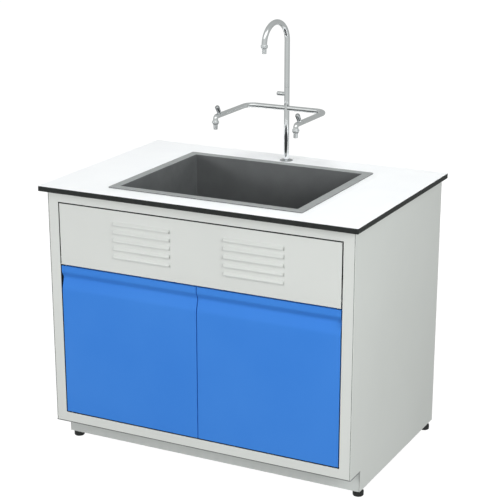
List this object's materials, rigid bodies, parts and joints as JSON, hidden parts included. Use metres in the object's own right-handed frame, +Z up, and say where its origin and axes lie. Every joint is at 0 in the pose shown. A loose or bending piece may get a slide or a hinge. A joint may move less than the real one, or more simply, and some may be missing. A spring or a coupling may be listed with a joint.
{
  "type": "laboratory sink unit",
  "caption": "Steel sink cabinet on levelling feet, with louvred vent panel, hinged doors with finger grooves, a worktop with inset bowl, and a swan-neck tap with side outlets.",
  "frame": {"origin": "on the floor under the middle of the worktop", "axes": "+Z up, +X to the right as seen from the front, the doors face -Y and the wall is at +Y"},
  "size_m": [1.1, 0.75, 1.381],
  "materials": {
    "cabinet_paint": "light grey powder coat, fine texture",
    "door_paint": "blue powder coat, fine texture",
    "worktop_white": "white compact laminate facing, satin",
    "worktop_black": "black compact laminate core, satin edge",
    "sink_grey": "grey moulded polymer, matte",
    "tap_chrome": "polished chrome plate on brass",
    "bare_steel": "zinc plated steel",
    "foot_black": "black moulded plastic",
    "plumbing_white": "white moulded plastic"
  },
  "bodies": {
    "cabinet": {"side_panel_left": "cabinet_paint", "side_panel_right": "cabinet_paint", "front_frame": "cabinet_paint", "mid_rail": "cabinet_paint", "vent_panel": "cabinet_paint", "bottom_panel": "cabinet_paint", "plinth": "cabinet_paint", "back_panel": "cabinet_paint", "rear_rail": "cabinet_paint", "foot_bracket_front_left": "bare_steel", "foot_bracket_front_right": "bare_steel", "foot_bracket_rear_left": "bare_steel", "foot_bracket_rear_right": "bare_steel", "worktop_core": "worktop_black", "worktop_facing": "worktop_white", "pivot_pin_left_bottom": "bare_steel", "pivot_pin_left_top": "bare_steel", "pivot_pin_right_bottom": "bare_steel", "pivot_pin_right_top": "bare_steel", "door_catch_left": "plumbing_white", "door_catch_right": "plumbing_white", "sink_bowl": "sink_grey", "waste_strainer": "bare_steel", "waste_nut": "plumbing_white", "trap_tail_pipe": "plumbing_white", "trap_body": "plumbing_white", "trap_cup": "plumbing_white", "trap_outlet_pipe": "plumbing_white", "tap_flange": "tap_chrome", "tap_washer": "bare_steel", "tap_nut": "bare_steel", "tap_column": "tap_chrome", "side_arm_left": "tap_chrome", "side_arm_right": "tap_chrome", "side_body_left": "tap_chrome", "side_body_right": "tap_chrome", "side_collar_left": "tap_chrome", "side_collar_right": "tap_chrome", "side_nozzle_left": "tap_chrome", "side_nozzle_right": "tap_chrome"},
    "door_left": {"door_skin_left": "door_paint", "door_liner_left": "door_paint", "hinge_block_left_bottom": "plumbing_white", "hinge_block_left_top": "plumbing_white"},
    "door_right": {"door_skin_right": "door_paint", "door_liner_right": "door_paint", "hinge_block_right_bottom": "plumbing_white", "hinge_block_right_top": "plumbing_white"},
    "swan_neck": {"spout": "tap_chrome", "spout_collar": "tap_chrome", "spout_nozzle": "tap_chrome"},
    "column_handle": {"main_handle": "tap_chrome"},
    "left_outlet_handle": {"side_handle_left": "tap_chrome"},
    "right_outlet_handle": {"side_handle_right": "tap_chrome"},
    "levelling_foot_front_left": {"foot_front_left": "foot_black"},
    "levelling_foot_front_right": {"foot_front_right": "foot_black"},
    "levelling_foot_rear_left": {"foot_rear_left": "foot_black"},
    "levelling_foot_rear_right": {"foot_rear_right": "foot_black"}
  },
  "joints": [
    {"name": "door_left_hinge", "type": "hinge", "parent": "cabinet", "child": "door_left", "pos_m": [-0.476, -0.339, 0.384], "axis": [0, 0, -1], "range_deg": [0, 110]},
    {"name": "door_right_hinge", "type": "hinge", "parent": "cabinet", "child": "door_right", "pos_m": [0.476, -0.339, 0.384], "axis": [0, 0, 1], "range_deg": [0, 110]},
    {"name": "spout_swivel", "type": "hinge", "parent": "cabinet", "child": "swan_neck", "pos_m": [0, 0.298, 1.15], "axis": [0, 0, 1], "range_deg": [-110, 110]},
    {"name": "main_handle_turn", "type": "hinge", "parent": "cabinet", "child": "column_handle", "pos_m": [-0.013, 0.298, 1.126], "axis": [-1, 0, 0], "range_deg": [0, 90]},
    {"name": "side_handle_left_turn", "type": "hinge", "parent": "cabinet", "child": "left_outlet_handle", "pos_m": [-0.1445, 0.0952, 1.079], "axis": [0, -0.5736, 0.8191], "range_deg": [0, 90]},
    {"name": "side_handle_right_turn", "type": "hinge", "parent": "cabinet", "child": "right_outlet_handle", "pos_m": [0.1445, 0.0952, 1.079], "axis": [0, -0.5736, 0.8191], "range_deg": [0, 90]},
    {"name": "foot_front_left_level", "type": "slide", "parent": "cabinet", "child": "levelling_foot_front_left", "axis": [0, 0, 1], "range_m": [-0.025, 0.004]},
    {"name": "foot_front_right_level", "type": "slide", "parent": "cabinet", "child": "levelling_foot_front_right", "axis": [0, 0, 1], "range_m": [-0.025, 0.004]},
    {"name": "foot_rear_left_level", "type": "slide", "parent": "cabinet", "child": "levelling_foot_rear_left", "axis": [0, 0, 1], "range_m": [-0.025, 0.004]},
    {"name": "foot_rear_right_level", "type": "slide", "parent": "cabinet", "child": "levelling_foot_rear_right", "axis": [0, 0, 1], "range_m": [-0.025, 0.004]}
  ]
}
